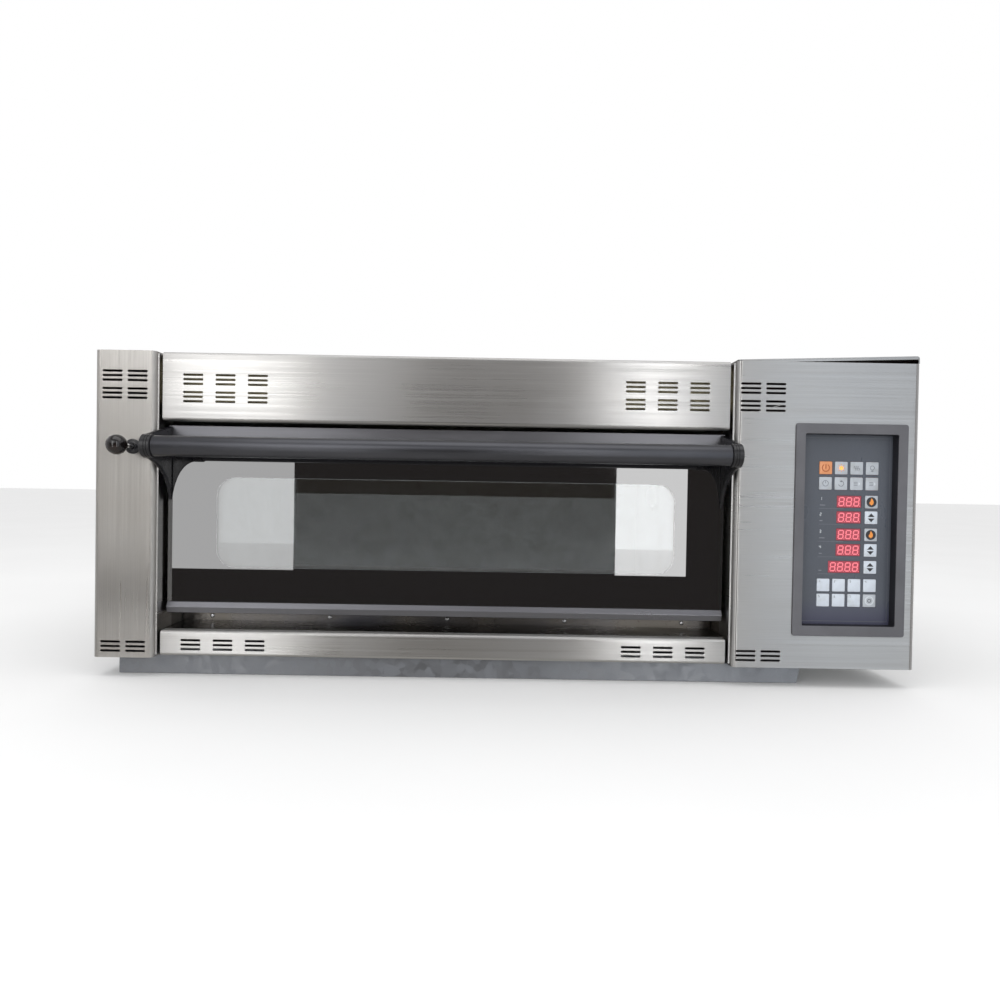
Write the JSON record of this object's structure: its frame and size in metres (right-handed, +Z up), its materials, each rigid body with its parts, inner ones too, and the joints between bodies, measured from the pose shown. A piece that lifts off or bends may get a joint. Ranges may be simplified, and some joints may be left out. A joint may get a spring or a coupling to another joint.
{
  "type": "deck oven",
  "caption": "One-deck electric bakery oven: wide stainless casing, inward-swinging glass door under a round handle bar, stone hearth, steam damper and a keyed control cabinet.",
  "frame": {"origin": "centre of the whole oven's box, on the surface that the base frame stands on", "axes": "+X along the front from the steam column to the control cabinet, +Y from the front to the back, +Z up"},
  "size_m": [1.32, 1.088, 0.5365],
  "materials": {
    "brushed_stainless": "brushed stainless sheet, horizontal grain",
    "dark_stainless": "smooth stainless sheet, darkened by heat",
    "galvanised_sheet": "galvanised steel with a faint spangle",
    "chamber_sheet": "aluminised steel, dull",
    "baking_stone": "fired cordierite slab, matt",
    "element_sheath": "oxidised heating element sheath",
    "mineral_wool": "mineral wool blanket",
    "lamp_glass": "ribbed heat-proof lamp glass",
    "outer_glass": "tinted mirror glass with a black printed border",
    "inner_glass": "clear heat-proof glass",
    "dark_anodised": "dark grey anodised extrusion, satin",
    "black_casting": "black lacquered casting, semi-gloss",
    "knob_plastic": "black phenolic ball, polished",
    "bright_chrome": "chromed rod",
    "bezel_plastic": "dark grey moulded plastic, fine texture",
    "overlay_film": "slate grey printed polyester film",
    "display_filter": "red display filter",
    "orange_key": "orange key film",
    "grey_key": "grey key film",
    "white_key": "white key film"
  },
  "bodies": {
    "casing": {"top_cover": "brushed_stainless", "left_side_panel": "brushed_stainless", "left_column_front": "brushed_stainless", "right_side_panel": "brushed_stainless", "control_front_panel": "brushed_stainless", "control_cabinet_lid": "brushed_stainless", "upper_fascia": "brushed_stainless", "lower_fascia": "brushed_stainless", "left_jamb": "brushed_stainless", "right_jamb": "brushed_stainless", "sill_plate": "dark_stainless", "hearth_front_strip": "dark_stainless", "base_frame": "galvanised_sheet", "floor_pan": "galvanised_sheet", "back_panel": "galvanised_sheet", "exhaust_duct": "galvanised_sheet", "chamber_left_wall": "chamber_sheet", "chamber_right_wall": "chamber_sheet", "chamber_back_wall": "chamber_sheet", "chamber_crown": "chamber_sheet", "hearth_stone_left": "baking_stone", "hearth_stone_right": "baking_stone", "upper_heating_element": "element_sheath", "lower_heating_element": "element_sheath", "crown_insulation": "mineral_wool", "chamber_lamp": "lamp_glass", "damper_rosette": "black_casting", "control_bezel": "bezel_plastic", "overlay_panel": "overlay_film", "display_board": "display_filter"},
    "door": {"door_top_rail": "dark_anodised", "door_bottom_rail": "dark_anodised", "door_glass": "outer_glass", "door_inner_glass": "inner_glass", "handle_bracket_left": "black_casting", "handle_bracket_right": "black_casting", "handle_bar": "dark_anodised"},
    "damper": {"damper_knob": "knob_plastic", "damper_rod": "bright_chrome"},
    "key_bell": {"key_bell": "grey_key"},
    "key_enter": {"key_enter": "grey_key"},
    "key_heat": {"key_heat": "grey_key"},
    "key_lamp": {"key_lamp": "grey_key"},
    "key_lower_adjust": {"key_lower_adjust": "white_key"},
    "key_lower_heat": {"key_lower_heat": "grey_key"},
    "key_memory": {"key_memory": "grey_key"},
    "key_power": {"key_power": "orange_key"},
    "key_program_1": {"key_program_1": "white_key"},
    "key_program_2": {"key_program_2": "white_key"},
    "key_program_3": {"key_program_3": "white_key"},
    "key_program_4": {"key_program_4": "white_key"},
    "key_program_5": {"key_program_5": "white_key"},
    "key_program_6": {"key_program_6": "white_key"},
    "key_program_7": {"key_program_7": "white_key"},
    "key_steam": {"key_steam": "grey_key"},
    "key_time_adjust": {"key_time_adjust": "white_key"},
    "key_timer": {"key_timer": "grey_key"},
    "key_upper_adjust": {"key_upper_adjust": "white_key"},
    "key_upper_heat": {"key_upper_heat": "grey_key"},
    "key_vent": {"key_vent": "grey_key"}
  },
  "joints": [
    {"name": "door_hinge", "type": "hinge", "parent": "casing", "child": "door", "pos_m": [-0.099, -0.417, 0.4], "axis": [1, 0, 0], "range_deg": [0, 80]},
    {"name": "damper_slide", "type": "slide", "parent": "casing", "child": "damper", "axis": [0, -1, 0], "range_m": [0, 0.05]},
    {"name": "key_bell_press", "type": "slide", "parent": "casing", "child": "key_bell", "axis": [0, 1, 0], "range_m": [0, 0.0006], "stiffness_N_per_m": 400},
    {"name": "key_enter_press", "type": "slide", "parent": "casing", "child": "key_enter", "axis": [0, 1, 0], "range_m": [0, 0.0006], "stiffness_N_per_m": 400},
    {"name": "key_heat_press", "type": "slide", "parent": "casing", "child": "key_heat", "axis": [0, 1, 0], "range_m": [0, 0.0006], "stiffness_N_per_m": 400},
    {"name": "key_lamp_press", "type": "slide", "parent": "casing", "child": "key_lamp", "axis": [0, 1, 0], "range_m": [0, 0.0006], "stiffness_N_per_m": 400},
    {"name": "key_lower_adjust_press", "type": "slide", "parent": "casing", "child": "key_lower_adjust", "axis": [0, 1, 0], "range_m": [0, 0.0006], "stiffness_N_per_m": 400},
    {"name": "key_lower_heat_press", "type": "slide", "parent": "casing", "child": "key_lower_heat", "axis": [0, 1, 0], "range_m": [0, 0.0006], "stiffness_N_per_m": 400},
    {"name": "key_memory_press", "type": "slide", "parent": "casing", "child": "key_memory", "axis": [0, 1, 0], "range_m": [0, 0.0006], "stiffness_N_per_m": 400},
    {"name": "key_power_press", "type": "slide", "parent": "casing", "child": "key_power", "axis": [0, 1, 0], "range_m": [0, 0.0006], "stiffness_N_per_m": 400},
    {"name": "key_program_1_press", "type": "slide", "parent": "casing", "child": "key_program_1", "axis": [0, 1, 0], "range_m": [0, 0.0006], "stiffness_N_per_m": 400},
    {"name": "key_program_2_press", "type": "slide", "parent": "casing", "child": "key_program_2", "axis": [0, 1, 0], "range_m": [0, 0.0006], "stiffness_N_per_m": 400},
    {"name": "key_program_3_press", "type": "slide", "parent": "casing", "child": "key_program_3", "axis": [0, 1, 0], "range_m": [0, 0.0006], "stiffness_N_per_m": 400},
    {"name": "key_program_4_press", "type": "slide", "parent": "casing", "child": "key_program_4", "axis": [0, 1, 0], "range_m": [0, 0.0006], "stiffness_N_per_m": 400},
    {"name": "key_program_5_press", "type": "slide", "parent": "casing", "child": "key_program_5", "axis": [0, 1, 0], "range_m": [0, 0.0006], "stiffness_N_per_m": 400},
    {"name": "key_program_6_press", "type": "slide", "parent": "casing", "child": "key_program_6", "axis": [0, 1, 0], "range_m": [0, 0.0006], "stiffness_N_per_m": 400},
    {"name": "key_program_7_press", "type": "slide", "parent": "casing", "child": "key_program_7", "axis": [0, 1, 0], "range_m": [0, 0.0006], "stiffness_N_per_m": 400},
    {"name": "key_steam_press", "type": "slide", "parent": "casing", "child": "key_steam", "axis": [0, 1, 0], "range_m": [0, 0.0006], "stiffness_N_per_m": 400},
    {"name": "key_time_adjust_press", "type": "slide", "parent": "casing", "child": "key_time_adjust", "axis": [0, 1, 0], "range_m": [0, 0.0006], "stiffness_N_per_m": 400},
    {"name": "key_timer_press", "type": "slide", "parent": "casing", "child": "key_timer", "axis": [0, 1, 0], "range_m": [0, 0.0006], "stiffness_N_per_m": 400},
    {"name": "key_upper_adjust_press", "type": "slide", "parent": "casing", "child": "key_upper_adjust", "axis": [0, 1, 0], "range_m": [0, 0.0006], "stiffness_N_per_m": 400},
    {"name": "key_upper_heat_press", "type": "slide", "parent": "casing", "child": "key_upper_heat", "axis": [0, 1, 0], "range_m": [0, 0.0006], "stiffness_N_per_m": 400},
    {"name": "key_vent_press", "type": "slide", "parent": "casing", "child": "key_vent", "axis": [0, 1, 0], "range_m": [0, 0.0006], "stiffness_N_per_m": 400}
  ]
}
